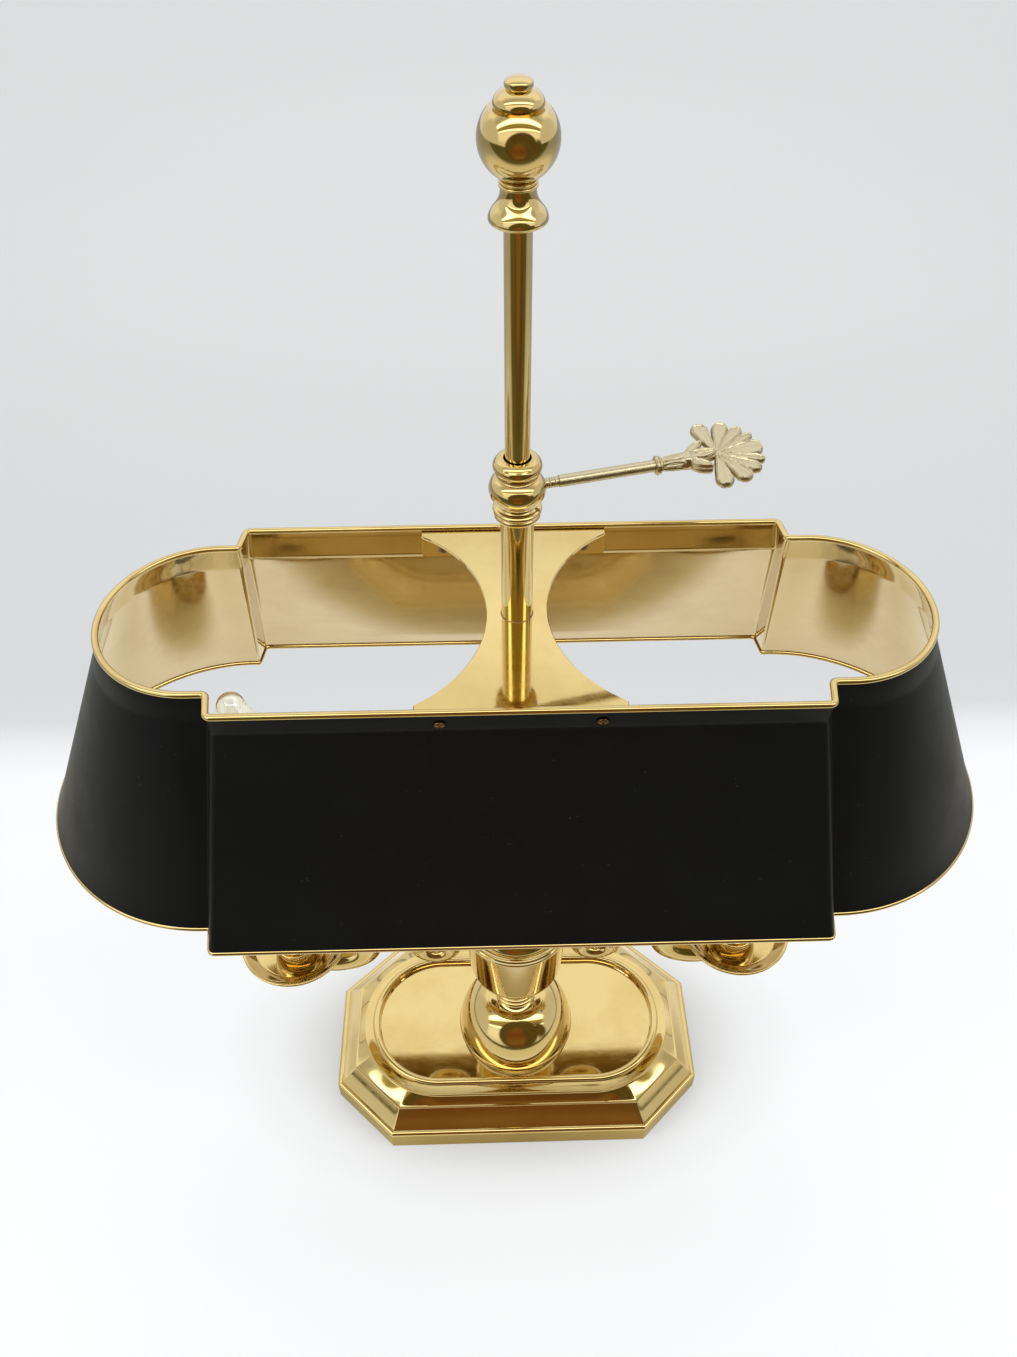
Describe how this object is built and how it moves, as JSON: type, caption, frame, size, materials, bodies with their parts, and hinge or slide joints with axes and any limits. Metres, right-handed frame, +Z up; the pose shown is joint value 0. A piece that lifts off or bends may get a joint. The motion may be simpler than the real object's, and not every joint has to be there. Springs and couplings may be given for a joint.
{
  "type": "bouillotte_table_lamp",
  "caption": "Brass table lamp with two candle lights on scroll arms under one black oblong shade that slides on a centre rod and is clamped by a palmette thumb screw",
  "frame": {"origin": "on the table, on the axis of the centre rod", "axes": "+Z up along the centre rod, +X along the arms towards the right candle, +Y towards the back"},
  "size_m": [0.4004, 0.1716, 0.5465],
  "materials": {
    "brass_polished": "polished and lacquered",
    "brass_cast": "sand cast, polished and lacquered",
    "brass_pale": "cast, brushed, slightly aged",
    "brass_dark": "aged",
    "shade_black": "satin black paint outside, polished brass inside",
    "steel_plated": "zinc plated",
    "iron_cast": "as cast",
    "felt_green": "pressed felt",
    "bushing_black": "moulded",
    "holder_phenolic": "moulded",
    "sleeve_ivory": "smooth",
    "cap_nickel": "nickel plated",
    "bulb_glass": "clear"
  },
  "bodies": {
    "base": {"base_shell": "brass_polished", "base_weight": "iron_cast", "base_cover": "steel_plated", "base_felt": "felt_green", "base_washer": "steel_plated", "base_nut": "steel_plated", "cord_bushing": "bushing_black", "lamp_pipe": "steel_plated", "column_foot": "brass_polished", "column_reeds": "brass_polished", "column_cup": "brass_polished", "cup_cap": "brass_polished", "rod_socket": "brass_polished", "arm_left": "brass_cast", "arm_right": "brass_cast", "arm_nuts": "steel_plated", "drip_pan_left": "brass_polished", "drip_pan_right": "brass_polished", "candle_cup_left": "brass_polished", "candle_cup_right": "brass_polished", "lamp_holder_left": "holder_phenolic", "lamp_holder_right": "holder_phenolic", "candle_sleeve_left": "sleeve_ivory", "candle_sleeve_right": "sleeve_ivory", "bulb_cap_left": "cap_nickel", "bulb_cap_right": "cap_nickel", "bulb_left": "bulb_glass", "bulb_right": "bulb_glass"},
    "rod": {"centre_rod": "brass_polished", "finial": "brass_polished"},
    "carriage": {"shade_shell": "shade_black", "rim_bead_wire": "brass_polished", "low_bead_wire": "brass_polished", "bridge_plate": "brass_polished", "sleeve_tube": "brass_polished", "sleeve_collar": "brass_polished", "tube_nut": "brass_dark", "shade_screws": "brass_dark", "shade_nuts": "steel_plated"},
    "key": {"thumb_screw": "brass_pale", "palmette_head": "brass_pale"}
  },
  "joints": [
    {"name": "shade_turn", "type": "hinge", "parent": "base", "child": "rod", "pos_m": [0, 0, 0.19], "axis": [0, 0, 1], "range_deg": [-8, 8]},
    {"name": "shade_slide", "type": "slide", "parent": "rod", "child": "carriage", "axis": [0, 0, 1], "range_m": [-0.15, 0.078]},
    {"name": "key_turn", "type": "hinge", "parent": "carriage", "child": "key", "pos_m": [0, 0, 0.41805], "axis": [0.9732, 0.23, 0], "range_deg": [-180, 180]}
  ]
}
